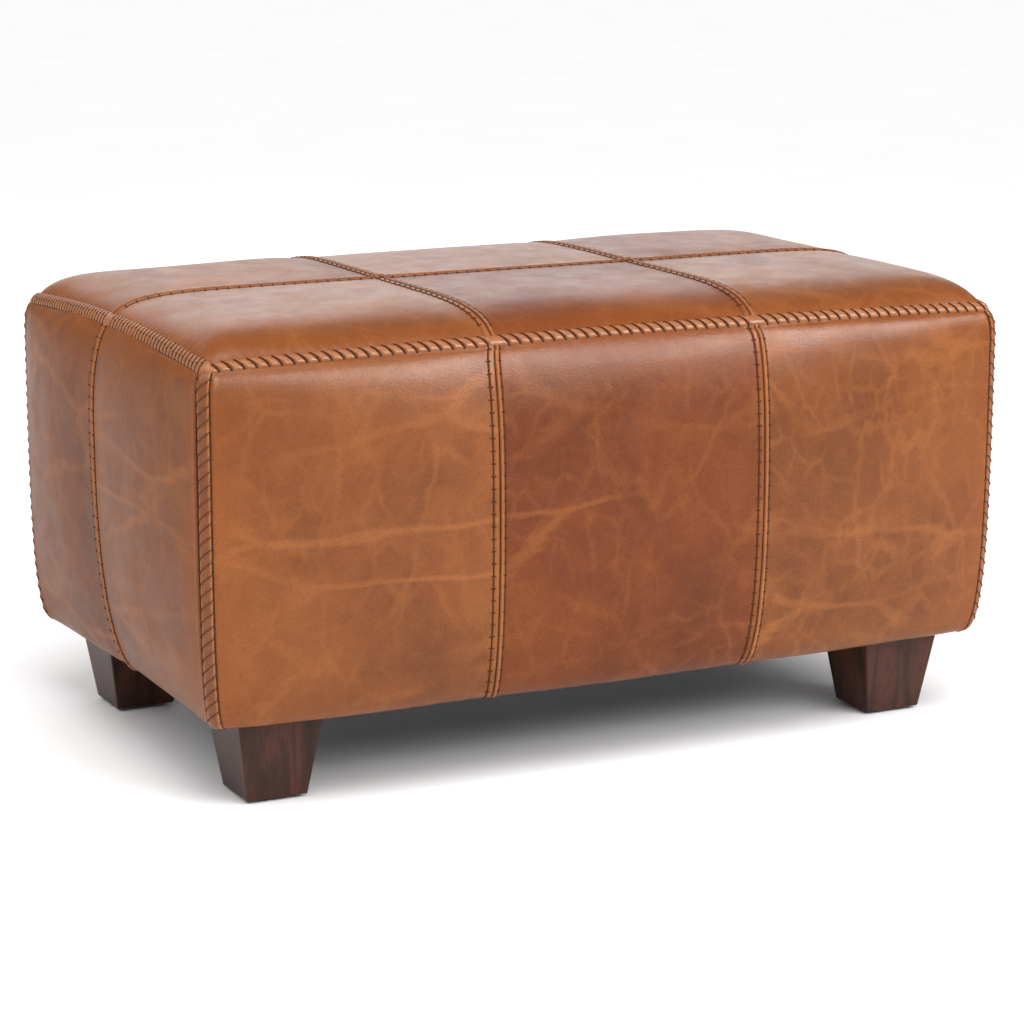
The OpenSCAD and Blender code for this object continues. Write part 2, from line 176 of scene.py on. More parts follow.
def seat_point(u, v):
    """A point on the seat, with u along X and v along Y, both from -1 to 1."""
    along = np.abs(u) ** (14 + 12 * v**4)
    across = np.abs(v) ** (6 + 5 * u**8)
    full = ((1 - along) * (1 - across)) ** (2 / 3)
    half_wide = RING_W / 2 + END_BOW * (1 - v * v)
    half_deep = RING_D / 2 + FRONT_BOW * (1 - u * u)
    place = rounded(u, v, u * half_wide, v * half_deep)
    place[..., 2] = mix(place[..., 2], SEAT_Z, full)
    return place


# ---- meshes ----


def normals_of(grid):
    """Unit normals of a grid of points whose rows run up and whose columns run right, seen from outside."""
    up = np.gradient(grid, axis=0)
    right = np.gradient(grid, axis=1)
    return unit(np.cross(right, up))


def placed(name, data):
    """A new object in the scene, with the given mesh, light or camera."""
    obj = bpy.data.objects.new(name, data)
    bpy.context.scene.collection.objects.link(obj)
    return obj


def mesh_object(name, points, faces, material_list, face_slots=None, smooth=True):
    """A linked object made from points and faces."""
    mesh = bpy.data.meshes.new(name)
    mesh.from_pydata([tuple(p) for p in points], [], faces)
    for material in material_list:
        mesh.materials.append(material)
    if face_slots is not None:
        mesh.polygons.foreach_set("material_index", face_slots)
    mesh.polygons.foreach_set("use_smooth", [smooth] * len(faces))
    mesh.update()
    return placed(name, mesh)


def grid_faces(rows, cols, flip=False):
    """The four-sided faces of a grid of points."""
    i, j = np.meshgrid(np.arange(rows - 1), np.arange(cols - 1), indexing="ij")
    a = (i * cols + j).ravel()
    quads = np.stack([a, a + 1, a + cols + 1, a + cols], axis=1)
    if flip:
        quads = quads[:, ::-1]
    return quads.tolist()


def shell_faces(rows, cols, flip=False):
    """The faces of a closed solid between two grids of the same size, one after the other."""
    count = rows * cols
    faces = grid_faces(rows, cols, flip)
    faces += [[i + count for i in reversed(face)] for face in faces]
    # The points around the rim, in order
    rim = [*range(cols)]
    rim += [i * cols + cols - 1 for i in range(1, rows)]
    rim += [(rows - 1) * cols + j for j in range(cols - 2, -1, -1)]
    rim += [i * cols for i in range(rows - 2, 0, -1)]
    for a, b in zip(rim, rim[1:] + rim[:1]):
        faces.append([a, b, b + count, a + count] if flip else [b, a, a + count, b + count])
    return faces


def thicken(obj, thickness):
    """Gives a skin its thickness, inwards."""
    skin = obj.modifiers.new("thickness", "SOLIDIFY")
    skin.thickness = thickness
    skin.offset = -1


def add_attributes(obj, **attributes):
    """Point values that the leather's material reads."""
    for name, values in attributes.items():
        layer = obj.data.attributes.new(name, "FLOAT", "POINT")
        layer.data.foreach_set("value", np.asarray(values, np.float32).ravel())


def leather_piece(name, points, faces, material, slot, node, **attributes):
    """A leather skin with its thickness and point values, in place of a plain part of the design."""
    obj = mesh_object(name, points.reshape(-1, 3), faces, [material])
    add_attributes(obj, **attributes)
    thicken(obj, LEATHER_T)
    return declare(obj, node)


def declare(obj, node=None):
    """Tells the frame what a piece rides on, and hides the plain part of the design that it stands for."""
    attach(obj, "root")
    if node is not None:
        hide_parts(node)
    return obj


class Tubes:
    """Collects short tubes and beads into one mesh."""

    # A direction that no thread runs along
    ASKEW = np.array([0.31, 0.52, 0.79])

    def __init__(self):
        self.points, self.faces, self.slots = [], [], []

    def tube(self, path, radius, sides=6, slot=0):
        path = np.asarray(path, float)
        along = unit(np.gradient(path, axis=0))
        side = unit(np.cross(along, self.ASKEW))
        up = np.cross(side, along)
        turn = np.linspace(0, 2 * math.pi, sides, endpoint=False)
        radius = np.broadcast_to(radius, len(path))[:, None, None]
        ring = np.cos(turn)[None, :, None] * side[:, None] + np.sin(turn)[None, :, None] * up[:, None]
        start = len(self.points)
        self.points.extend((path[:, None] + radius * ring).reshape(-1, 3))
        for i in range(len(path) - 1):
            for k in range(sides):
                a, b = start + i * sides + k, start + i * sides + (k + 1) % sides
                self.faces.append((a, a + sides, b + sides, b))
                self.slots.append(slot)
        self.faces.append(tuple(start + k for k in range(sides)))
        self.faces.append(tuple(start + (len(path) - 1) * sides + k for k in reversed(range(sides))))
        self.slots.extend([slot, slot])

    def bead(self, centre, normal, along, size, slot=1):
        """A flattened bead, size = half its length, width and height."""
        n = unit(normal)
        a = unit(along - n * (along @ n))
        b = np.cross(n, a)
        start = len(self.points)
        rings, sides = 3, 8
        for r in range(1, rings + 1):
            tilt = math.pi * r / (rings + 1)
            for k in range(sides):
                turn = 2 * math.pi * k / sides
                spread = math.sin(tilt)
                self.points.append(
                    centre
                    + a * size[0] * spread * math.cos(turn)
                    + b * size[1] * spread * math.sin(turn)
                    + n * size[2] * math.cos(tilt)
                )
        top, bottom = len(self.points), len(self.points) + 1
        self.points.extend([centre + n * size[2], centre - n * size[2]])
        for k in range(sides):
            m = (k + 1) % sides
            self.faces.append((start + k, start + m, top))
            self.faces.append((start + (rings - 1) * sides + m, start + (rings - 1) * sides + k, bottom))
            for r in range(rings - 1):
                p, q = start + r * sides, start + (r + 1) * sides
                self.faces.append((p + k, q + k, q + m, p + m))
        self.slots.extend([slot] * (len(self.faces) - len(self.slots)))

    def build(self, name, material_list):
        return mesh_object(name, self.points, self.faces, material_list, self.slots)


LONG_SIDES = ("front", "back")
# Each side is drawn as the front or left one and mirrored into place
MIRROR = {
    "front": np.array([1.0, 1.0, 1.0]),
    "back": np.array([1.0, -1.0, 1.0]),
    "left": np.array([1.0, 1.0, 1.0]),
    "right": np.array([-1.0, 1.0, 1.0]),
}


# ---- materials ----


class Nodes:
    """A short way to write a node tree."""

    def __init__(self, name):
        self.material = bpy.data.materials.new(name)
        self.material.use_nodes = True
        self.tree = self.material.node_tree
        self.shader = self.tree.nodes["Principled BSDF"]

    def put(self, socket, value):
        """Links another node's output to a socket, or sets its value; a colour's alpha may be left out."""
        if isinstance(value, bpy.types.NodeSocket):
            self.tree.links.new(value, socket)
        elif socket.type == "RGBA" and len(value) == 3:
            socket.default_value = (*value, 1.0)
        else:
            socket.default_value = value

    def add(self, kind, **inputs):
        """A new node: _name sets a property, i0, i1 and so on an input by number, and the rest by name."""
        node = self.tree.nodes.new("ShaderNode" + kind)
        for key, value in inputs.items():
            if key.startswith("_"):
                setattr(node, key[1:], value)
            else:
                by_number = key[0] == "i" and key[1:].isdigit()
                self.put(node.inputs[int(key[1:]) if by_number else key], value)
        return node

    def place(self, stretch=(1, 1, 1), shift=(0, 0, 0), turn=(0, 0, 0)):
        coords = self.add("TexCoord")
        return self.add(
            "Mapping", Vector=coords.outputs["Object"], Scale=stretch, Location=shift, Rotation=turn
        ).outputs[0]

    def noise(self, vector, scale, detail=4.0, rough=0.55, distort=0.0):
        node = self.add(
            "TexNoise", Vector=vector, Scale=scale, Detail=detail, Roughness=rough, Distortion=distort
        )
        return node.outputs["Fac"]

    def ramp(self, value, stops):
        node = self.add("ValToRGB", Fac=value)
        ramp = node.color_ramp
        while len(ramp.elements) < len(stops):
            ramp.elements.new(0.5)
        for element, (place, colour) in zip(ramp.elements, stops):
            element.position = place
            element.color = (*colour, 1.0) if len(colour) == 3 else colour
        return node.outputs["Color"]

    def band(self, value, low, high, to_low=0.0, to_high=1.0):
        return self.add(
            "MapRange", Value=value, i1=low, i2=high, i3=to_low, i4=to_high, _clamp=True
        ).outputs["Result"]

    def maths(self, operation, a, b=0.0):
        return self.add("Math", _operation=operation, i0=a, i1=b).outputs[0]

    def mix(self, fac, a, b, blend="MIX"):
        node = self.add("Mix", _data_type="RGBA", _blend_type=blend)
        for number, value in ((0, fac), (6, a), (7, b)):
            self.put(node.inputs[number], value)
        return node.outputs[2]

    def bump(self, height, strength, distance, normal=None):
        node = self.add("Bump", Height=height, Strength=strength, Distance=distance)
        if normal is not None:
            self.tree.links.new(normal, node.inputs["Normal"])
        return node.outputs["Normal"]

    def feed(self, **sockets):
        """Feeds the shader's own sockets, and returns the finished material."""
        for key, value in sockets.items():
            self.put(self.shader.inputs[key.replace("_", " ")], value)
        return self.material


def srgb(r, g, b):
    """A colour from 0 to 255 as linear numbers."""

    def part(c):
        c /= 255
        return c / 12.92 if c <= 0.04045 else ((c + 0.055) / 1.055) ** 2.4

    return (part(r), part(g), part(b))


def crease_net(n, seed, size, stretch, width, bend):
    """A net of soft pale creases, about size metres between them: 1 on a crease, 0 away from it."""
    at = n.place(stretch, (seed * 0.37, seed * 0.61, seed * 0.23), (0.3, 0.5, 0.2))
    warp = n.add("TexNoise", Vector=at, Scale=2.2 / size, Detail=3.0, Roughness=0.6).outputs["Color"]
    push = n.add("VectorMath", _operation="SUBTRACT", i0=warp, i1=(0.5, 0.5, 0.5)).outputs[0]
    push = n.add("VectorMath", _operation="SCALE", i0=push, Scale=bend * size).outputs[0]
    bent = n.add("VectorMath", _operation="ADD", i0=at, i1=push).outputs[0]
    cell = n.add("TexVoronoi", Vector=bent, Scale=1 / size, _feature="DISTANCE_TO_EDGE").outputs["Distance"]
    line = n.add(
        "MapRange", Value=cell, i1=0.0, i2=width / size, i3=1.0, i4=0.0, _interpolation_type="SMOOTHERSTEP"
    )
    fade = n.band(n.noise(at, 0.9 / size, 2.0, 0.5), 0.40, 0.62)
    return n.maths("MULTIPLY", line.outputs["Result"], fade)


def leather(name, dark, mid, light, seed, pale=0.5, gloss=0.27):
    """Waxed pull-up leather: cloudy dye, a net of pale creases, rubbed seams, a fine pebbled grain, and
    painted shade near the laced edges and in the grooves.
    """
    n = Nodes(name)
    at = n.place(shift=(seed * 1.7, seed * 0.9, seed * 1.3))
    cloud = n.noise(at, 7.0, 6.0, 0.62, 0.6)
    colour = n.ramp(cloud, [(0.32, dark), (0.50, mid), (0.70, light)])
    marble = n.noise(at, 30.0, 6.0, 0.7, 0.4)
    colour = n.mix(n.band(marble, 0.44, 0.74, 0.0, 0.34), colour, light)
    colour = n.mix(n.band(marble, 0.46, 0.30, 0.0, 0.30), colour, dark)
    # Creases: a fine net, a broad one, and a few long ones that run along the panel. Each has its
    # size, stretch, line width, bend and share of the pale colour
    nets = (
        (0.034, (1, 1, 0.75), 0.0042, 0.40, 0.34),
        (0.070, (1, 1, 0.7), 0.0055, 0.45, 0.42),
        (0.080, (0.28, 0.28, 1), 0.0055, 0.35, 0.85),
    )
    for k, (size, stretch, width, bend, share) in enumerate(nets):
        line = crease_net(n, seed + k, size, stretch, width, bend)
        colour = n.mix(n.maths("MULTIPLY", line, share * pale), colour, PALE)
    # Painted shade along the laced edges, rubbed ridges, and painted shade in the sunken lines at seams and
    # stitches
    for attribute, share, tint in (("edge", 0.55, EDGE_SHADE), ("ridge", 0.50, RUBBED), ("crease", 0.88, GROOVE_SHADE)):
        amount = n.add("Attribute", _attribute_name=attribute).outputs["Fac"]
        colour = n.mix(n.maths("MULTIPLY", amount, share), colour, tint)
    speck = n.noise(at, 520.0, 2.0, 0.7)
    colour = n.mix(n.band(speck, 0.52, 0.66, 0.0, 0.50), colour, dark)
    colour = n.mix(n.band(speck, 0.46, 0.32, 0.0, 0.40), colour, light)
    grain = n.add("TexVoronoi", Vector=at, Scale=620.0, Randomness=1.0).outputs["Distance"]
    fine = n.noise(at, 1100.0, 3.0, 0.6)
    soft = n.noise(at, 60.0, 4.0, 0.6)
    normal = n.bump(grain, 0.26, 0.0004)
    normal = n.bump(fine, 0.30, 0.0003, normal)
    normal = n.bump(soft, 0.14, 0.0012, normal)
    rough = n.band(n.noise(at, 30.0, 5.0, 0.65), 0.3, 0.7, 0.28, 0.40)
    return n.feed(Base_Color=colour, Roughness=rough, Normal=normal, Specular_IOR_Level=gloss)


def thread_material(name, low, high):
    n = Nodes(name)
    at = n.place()
    twist = n.add("TexWave", Vector=at, Scale=900.0, Distortion=1.0).outputs["Fac"]
    colour = n.ramp(twist, [(0.2, low), (0.8, high)])
    normal = n.bump(twist, 0.3, 0.0002)
    return n.feed(Base_Color=colour, Roughness=0.7, Specular_IOR_Level=0.15, Normal=normal)


# Near-black beads of painted shade stand in for the dark inside of the stitch holes
def hole_shade_material():
    n = Nodes("stitch_hole_shade")
    colour = n.ramp(n.noise(n.place(), 500.0), [(0.3, srgb(22, 9, 5)), (0.7, srgb(44, 20, 11))])
    return n.feed(Base_Color=colour, Roughness=0.8)


def walnut_material():
    n = Nodes("stained_walnut")
    stretch = n.place((9.0, 9.0, 0.55), turn=(0.10, 0.06, 0.0))
    figure = n.noise(stretch, 5.0, 5.0, 0.6, 0.8)
    browns = (srgb(33, 18, 12), srgb(54, 30, 21), srgb(76, 41, 29), srgb(46, 27, 20))
    colour = n.ramp(figure, [*zip((0.28, 0.46, 0.58, 0.75), browns)])
    pores = n.noise(n.place((60.0, 60.0, 1.2)), 12.0, 3.0, 0.6)
    colour = n.mix(n.band(pores, 0.55, 0.72, 0.0, 0.55), colour, srgb(30, 18, 15))
    normal = n.bump(pores, 0.25, 0.0004)
    rough = n.band(figure, 0.3, 0.7, 0.34, 0.46)
    return n.feed(Base_Color=colour, Roughness=rough, Normal=normal, Specular_IOR_Level=0.22)


def plain_material(name, low, high, scale, roughness, stretch=(1, 1, 1), metallic=0.0, depth=0.0004):
    """A simple grained material for the parts inside and underneath."""
    n = Nodes(name)
    grain = n.noise(n.place(stretch), scale, 5.0, 0.6)
    rough = n.band(grain, 0.3, 0.7, roughness - 0.08, roughness + 0.08)
    colour = n.ramp(grain, [(0.3, low), (0.7, high)])
    return n.feed(Base_Color=colour, Roughness=rough, Metallic=metallic, Normal=n.bump(grain, 0.4, depth))


def weave_material(name, low, high, threads, roughness=0.9):
    n = Nodes(name)
    at = n.place()
    waves = [
        n.add("TexWave", Vector=at, Scale=threads, Distortion=0.6, _bands_direction=axis).outputs["Fac"]
        for axis in ("X", "Y")
    ]
    weave = n.maths("MULTIPLY", waves[0], waves[1])
    colour = n.ramp(weave, [(0.0, low), (0.8, high)])
    return n.feed(Base_Color=colour, Roughness=roughness, Normal=n.bump(weave, 0.6, 0.0006))


# Colours shared by all the leather: pale creases, painted shade at the edges, rubbed ridges and painted shade
# in sunken lines
PALE = srgb(156, 95, 46)
EDGE_SHADE = srgb(132, 68, 18)
RUBBED = srgb(176, 112, 66)
GROOVE_SHADE = srgb(58, 27, 12)
# Dark, middle and light dye of each leather
AMBER = srgb(101, 52, 16), srgb(118, 63, 22), srgb(132, 76, 30)
RUSSET = srgb(89, 40, 11), srgb(105, 50, 15), srgb(118, 61, 22)
TAN = srgb(96, 48, 12), srgb(112, 59, 17), srgb(127, 72, 25)
CHESTNUT = srgb(96, 50, 20), srgb(112, 62, 27), srgb(128, 75, 36)
UMBER = srgb(88, 44, 16), srgb(104, 55, 22), srgb(120, 67, 30)
ROLLED = srgb(96, 51, 19), srgb(113, 62, 25), srgb(132, 77, 35)
tones = {
    "amber": leather("leather_amber", *AMBER, seed=1.0, pale=0.55),
    "russet": leather("leather_russet", *RUSSET, seed=2.3, pale=0.40, gloss=0.21),
    "tan": leather("leather_tan", *TAN, seed=3.9, pale=0.65),
    "chestnut": leather("leather_chestnut", *CHESTNUT, seed=5.2, pale=0.40, gloss=0.11),
    "umber": leather("leather_umber", *UMBER, seed=6.4, pale=0.40, gloss=0.06),
}
edge_leather = leather("leather_rolled_edge", *ROLLED, seed=7.7, pale=0.4, gloss=0.36)
thread = thread_material("waxed_thread", srgb(54, 25, 9), srgb(92, 49, 21))
corner_thread = thread_material("brown_thread", srgb(72, 36, 14), srgb(112, 64, 30))
hole = hole_shade_material()

# ---- cover panels ----


def spread(length, low, high, step):
    """Distances from 0 to length: the given close-set ones at each end and an even step between."""
    low, high = np.array(low), length - np.array(high)[::-1]
    count = max(2, int(round((high[0] - low[-1]) / step)))
    return np.concatenate([low, np.linspace(low[-1], high[0], count + 1)[1:-1], high])


# Mesh lines beside a seam and beside a laced edge, close where the leather bends, and the even step
SEAM_STEPS = np.array(
    [0, 0.3, 0.6, 1.0, 1.5, 2.1, 2.8, 3.6, 4.4, 5.0, 5.5, 6.0, 6.5, 7.0, 7.7, 8.8, 10.5, 13, 16]
) * MM
EDGE_STEPS = np.array([0, 0.4, 0.8, 1.3, 2.0, 3.0, 4.2, 5.6, 7.5, 10]) * MM
STEP = 3.2 * MM

# Distance of the two stitch rows from a seam, on its flat side and on its ridge side
ROW = {"flat": 0.0066, "ridge": 0.0053}


def curve(points):
    """Height against distance, both in mm, joined smoothly."""
    x, y = np.array(points).T * MM

    def height(d):
        i = np.clip(np.searchsorted(x, d) - 1, 0, len(x) - 2)
        t = np.clip((d - x[i]) / (x[i + 1] - x[i]), 0, 1)
        return mix(y[i], y[i + 1], t * t * (3 - 2 * t))

    return height


# Height of the leather beside each kind of edge, over the padding
RELIEF = {
    "flat": curve([(0, -0.3), (0.5, 0.5), (2.5, 0.9), (5.4, 0.9), (6.6, -0.3), (8.2, 0.2), (18, 0)]),
    "ridge": curve(
        [(0, -0.3), (0.5, 1.0), (1.7, 2.1), (3.2, 1.3), (4.4, 1.0), (5.3, -0.2), (7.0, 0.3), (18, 0)]
    ),
    "corner": curve([(0, -1.0), (0.9, -0.1), (2.6, 0.3), (7, 0)]),
    "welt": lambda d: 0 * d,
}
RIDGE_TONE = {"flat": 0.35, "ridge": 1.0}
PUCKER = {"corner": 0.10 * MM, "welt": 0.22 * MM}
# How far from its edges a panel is drawn even and given painted shade
EVEN = 0.030


class Surface:
    """The cover's outer surface, for laying stitches on."""

    def __init__(self):
        self.points, self.faces, self.tree = [], [], None

    def add(self, points, faces):
        start = len(self.points)
        self.points.extend(points.tolist())
        self.faces.extend([tuple(i + start for i in face) for face in faces])

    def settle(self, points, normals, reach=0.012):
        """The points moved along their normals onto the surface."""
        if self.tree is None:
            self.tree = BVHTree.FromPolygons(self.points, self.faces)
        moved = []
        for p, n in zip(np.atleast_2d(points), np.atleast_2d(normals)):
            hit = self.tree.ray_cast(Vector(p + n * reach), Vector(-n), 2 * reach)[0]
            moved.append(p if hit is None else np.array(hit))
        return np.array(moved)


cover = Surface()


def gentle(points, seed):
    """Slow unevenness of the padding, up to about a millimetre."""
    rng = np.random.default_rng(seed)
    total = np.zeros(points.shape[:-1])
    for wave in (0.07, 0.10, 0.14, 0.19, 0.26, 0.33):
        for _ in range(2):
            way = unit(rng.normal(size=3))
            total += wave * np.sin(points @ way * 2 * math.pi / wave + rng.uniform(0, 6.28))
    return total * 0.9 * MM


def panel(name, tone, point, a_span, b_span, a_half, b_half, kinds, seed, mirror, crown, b_map=None):
    """One cover panel. kinds names what lies along its left, right, low and high edges."""
    half = {"flat": SEAM_STEPS, "ridge": SEAM_STEPS, "corner": EDGE_STEPS, "welt": EDGE_STEPS, "none": [0]}
    left, right, low, high = kinds
    wide = (a_span[1] - a_span[0]) * a_half
    tall = (b_span[1] - b_span[0]) * b_half
    da = spread(wide, half[left], half[right], STEP)
    db = spread(tall, half[low], half[high], STEP)
    a = a_span[0] + da / a_half
    b = b_span[0] + db / b_half
    if b_map is not None:
        b = b_map(db / tall)
    grid_a, grid_b = np.meshgrid(a, b)
    base = point(grid_a, grid_b)
    normal = normals_of(base)
    # True distances from each edge, measured over the surface
    over = distances(base, 0)
    along = distances(base, 1)
    gaps = {
        "left": np.broadcast_to(da[None, :], grid_a.shape),
        "right": np.broadcast_to(wide - da[None, :], grid_a.shape),
        "low": over,
        "high": over[-1:] - over,
    }
    shaped = {side: kind for side, kind in zip(gaps, kinds) if kind != "none"}
    height, edge, ridge, crease = (np.zeros(grid_a.shape) for _ in range(4))
    for side, kind in shaped.items():
        d = gaps[side]
        height += RELIEF[kind](d)
        if kind in ("flat", "ridge"):
            mid = ROW[kind] / 2
            ridge = np.maximum(ridge, RIDGE_TONE[kind] * np.exp(-(((d - mid) / (0.36 * ROW[kind])) ** 4)))
            # Painted shade in the seam's groove and along its stitch rows
            crease = np.maximum(crease, 0.75 * np.exp(-((d / (0.35 * MM)) ** 2)))
            crease = np.maximum(crease, 0.40 * np.exp(-(((d - ROW[kind]) / (0.6 * MM)) ** 2)))
        else:
            # Painted shade: deeper, more saturated colour near the laced edge or corner, and a darker groove
            # where the panel meets it
            edge = np.maximum(edge, np.exp(-((d / EVEN) ** 1.3)))
            crease = np.maximum(crease, 0.12 * np.exp(-((d / (1.4 * MM)) ** 2)))
            run = along if side in ("low", "high") else over
            pucker = np.cos(2 * math.pi * run / STITCH) * np.exp(-((d - 3 * MM).clip(0) / (5 * MM)))
            height += PUCKER[kind] * pucker
    fa, fb = da / wide, np.linspace(0, 1, len(db)) if b_map is not None else db / tall
    swell = (1 - np.abs(2 * fa - 1) ** 3)[None, :] * (1 - np.abs(2 * fb - 1) ** 4)[:, None]
    height += crown * swell
    # The padding is even close to the seams and laced edges
    calm = np.minimum(np.minimum.reduce([gaps[side] for side in shaped]) / EVEN, 1)
    height += gentle(base, seed) * calm
    points = (base + normal * height[..., None]) * mirror
    faces = grid_faces(*grid_a.shape, mirror.prod() < 0)
    cover.add(points.reshape(-1, 3), faces)
    obj = leather_piece(
        f"leather_{name}", points, faces, tones[tone], "leather", name, edge=edge, ridge=ridge, crease=crease
    )


def wall_rows(t):
    """Heights up a wall for t from 0 to 1: a short hem, then the wall."""
    hem_part = 0.06
    return np.where(t < hem_part, -1 + t / hem_part, (t - hem_part) / (1 - hem_part))


thirds = ("left", "centre", "right")
HALF_W, HALF_D = RING_W / 2, RING_D / 2


def third_span(k, clear):
    """From where to where the k-th third of a long side runs, held clear of the corners."""
    low = -1 + clear / HALF_W if k == 0 else mix(-1, 1, k / 3)
    high = 1 - clear / HALF_W if k == 2 else mix(-1, 1, (k + 1) / 3)
    return low, high


def half_span(k, clear):
    """From where to where the k-th half of a short side runs."""
    return (-1 + clear / HALF_D, 0.0) if k == 0 else (0.0, 1 - clear / HALF_D)


WALL_TALL = 0.42
for side, side_tones in (("front", ("amber", "russet", "tan")), ("back", ("tan", "amber", "chestnut"))):
    for k, third in enumerate(thirds):
        kinds = ("corner" if k == 0 else "ridge", "corner" if k == 2 else "flat", "none", "welt")
        panel(
            f"{side}_panel_{third}", side_tones[k], front_point, third_span(k, CORNER_CLEAR), (0, 1),
            HALF_W, WALL_TALL, kinds, 10 * k + len(side), MIRROR[side], 2.2 * MM, wall_rows,
        )
for side, side_tones in (("left", ("umber", "chestnut")), ("right", ("amber", "russet"))):
    for k, half in enumerate(("back", "front")):
        kinds = ("corner" if k == 0 else "ridge", "corner" if k == 1 else "flat", "none", "welt")
        panel(
            f"{side}_panel_{half}", side_tones[k], end_point, half_span(k, CORNER_CLEAR), (0, 1),
            HALF_D, WALL_TALL, kinds, 40 + 10 * k + len(side), MIRROR[side], 1.8 * MM, wall_rows,
        )
# The back right seat panel is the fullest
top_crowns = ((1.2 * MM, 1.2 * MM, 1.2 * MM), (1.2 * MM, 1.2 * MM, 4.0 * MM))
top_tones = (("amber", "russet", "tan"), ("chestnut", "amber", "russet"))
for h, half in enumerate(("front", "back")):
    for k, third in enumerate(thirds):
        kinds = (
            "welt" if k == 0 else "ridge", "welt" if k == 2 else "flat",
            "welt" if h == 0 else "ridge", "welt" if h == 1 else "flat",
        )
        panel(
            f"top_panel_{half}_{third}", top_tones[h][k], seat_point, third_span(k, TOP_CLEAR),
            half_span(h, TOP_CLEAR), HALF_W, HALF_D, kinds, 70 + 10 * k + h, MIRROR["front"],
            top_crowns[h][k],
        )

# ---- laced top edges ----

ROLL_WIDE = 0.0062
ROLL_HIGH = 0.0038
# Half the angle that a roll's outline sweeps, as a share of a half turn
ROLL_SWEEP = 0.66
# The roll stays plain for this length beside a seam
PLAIN = 0.011
# A roll's ends run this far past the corner and close over this length
ROLL_PAST = 0.0030
ROLL_CLOSE = 0.0040


def edge_line(side, f):
    """Points on a laced top edge, with the directions out of it and across it towards the seat."""
    long = side in LONG_SIDES
    zero = 0 * f
    if long:
        p = rounded(f, 1.0, f * HALF_W, -HALF_D - FRONT_BOW * (1 - f * f))
        out = np.stack([zero, zero - 1, zero + 1], axis=-1)
    else:
        p = rounded(1.0, f, -HALF_W - END_BOW * (1 - f * f), -f * HALF_D)
        out = np.stack([zero - 1, zero, zero + 1], axis=-1)
    along = unit(np.gradient(p, axis=0) * np.sign(f[-1] - f[0]))
    out /= math.sqrt(2)
    out = unit(out - along * (out * along).sum(-1, keepdims=True))
    return p, out, np.cross(out, along)


def stitch_places(stops, pitch):
    """Where stitches lie along an edge, in groups between the plain stretches."""
    places = []
    for low, high in zip(stops[:-1], stops[1:]):
        low, high = low + PLAIN, high - PLAIN
        count = int(round((high - low) / pitch))
        places.extend(np.linspace(low, high, count + 1))
    return np.array(places)


# How far a stitch runs along the edge while it crosses it
LEAN = 0.0105


def leaning(part):
    """Where a stitch is along its lean, from -0.5 at the wall to 0.5 at the seat, steeper at the wall."""
    return ((np.clip(part, -1, 1) + 1) / 2) ** 1.6 - 0.5


def lace(tubes, side, place, lean, wide):
    """One stitch over the roll, from a hole in the wall to a hole in the seat."""
    long = side in LONG_SIDES
    mirror = MIRROR[side]
    half = HALF_W if long else HALF_D
    arc = np.linspace(-0.56, 0.56, 13) * math.pi
    s = place - lean * leaning(np.sin(arc / (2 * ROLL_SWEEP)))
    q, o, c = edge_line(side, np.clip(s / (2 * half) * 2 - 1, -1, 1))
    high = ROLL_HIGH * (0.76 if long else 0.74) + THREAD_R * 0.6
    path = q + np.sin(arc)[:, None] * wide * c + np.cos(arc)[:, None] * high * o
    # Only the part of the thread above the leather shows
    laid = cover.settle(path * mirror, o * mirror) * mirror
    above = np.nonzero(((path - laid) * o).sum(-1) > -0.3 * MM)[0]
    first, last = above[0], above[-1]
    along = unit(path[last] - path[first])
    outward = np.stack([o[first], o[last]]) * mirror
    past_seat = 0.2 * MM if long else 0.8 * MM
    ends = np.stack([laid[first] - c[first] * 0.4 * MM, laid[last] + c[last] * past_seat])
    wall_hole, seat_hole = cover.settle(ends * mirror, outward) * mirror + outward * mirror * 0.2 * MM
    line = np.vstack([wall_hole, path[first : last + 1], seat_hole])
    tubes.tube(line * mirror, THREAD_R * (1.25 if long else 0.9))
    size = np.array((1.5, 1.2, 0.6) if long else (1.0, 0.9, 0.5)) * MM
    # A bead of painted shade marks the hole in the wall
    tubes.bead(wall_hole * mirror, (o[first] - c[first]) * mirror, along * mirror, size)
    # The mark on the seat side, a bead of painted shade, runs along the edge: a small hole, or a long dash on
    # a short edge
    mark = seat_hole if long else path[last - 3] + 0.5 * MM * o[last]
    size = np.array((1.3, 0.8, 0.5) if long else (2.5, 0.8, 0.6)) * MM
    tubes.bead(mark * mirror, (o[last] + c[last]) * mirror, (q[0] - q[-1]) * mirror, size)


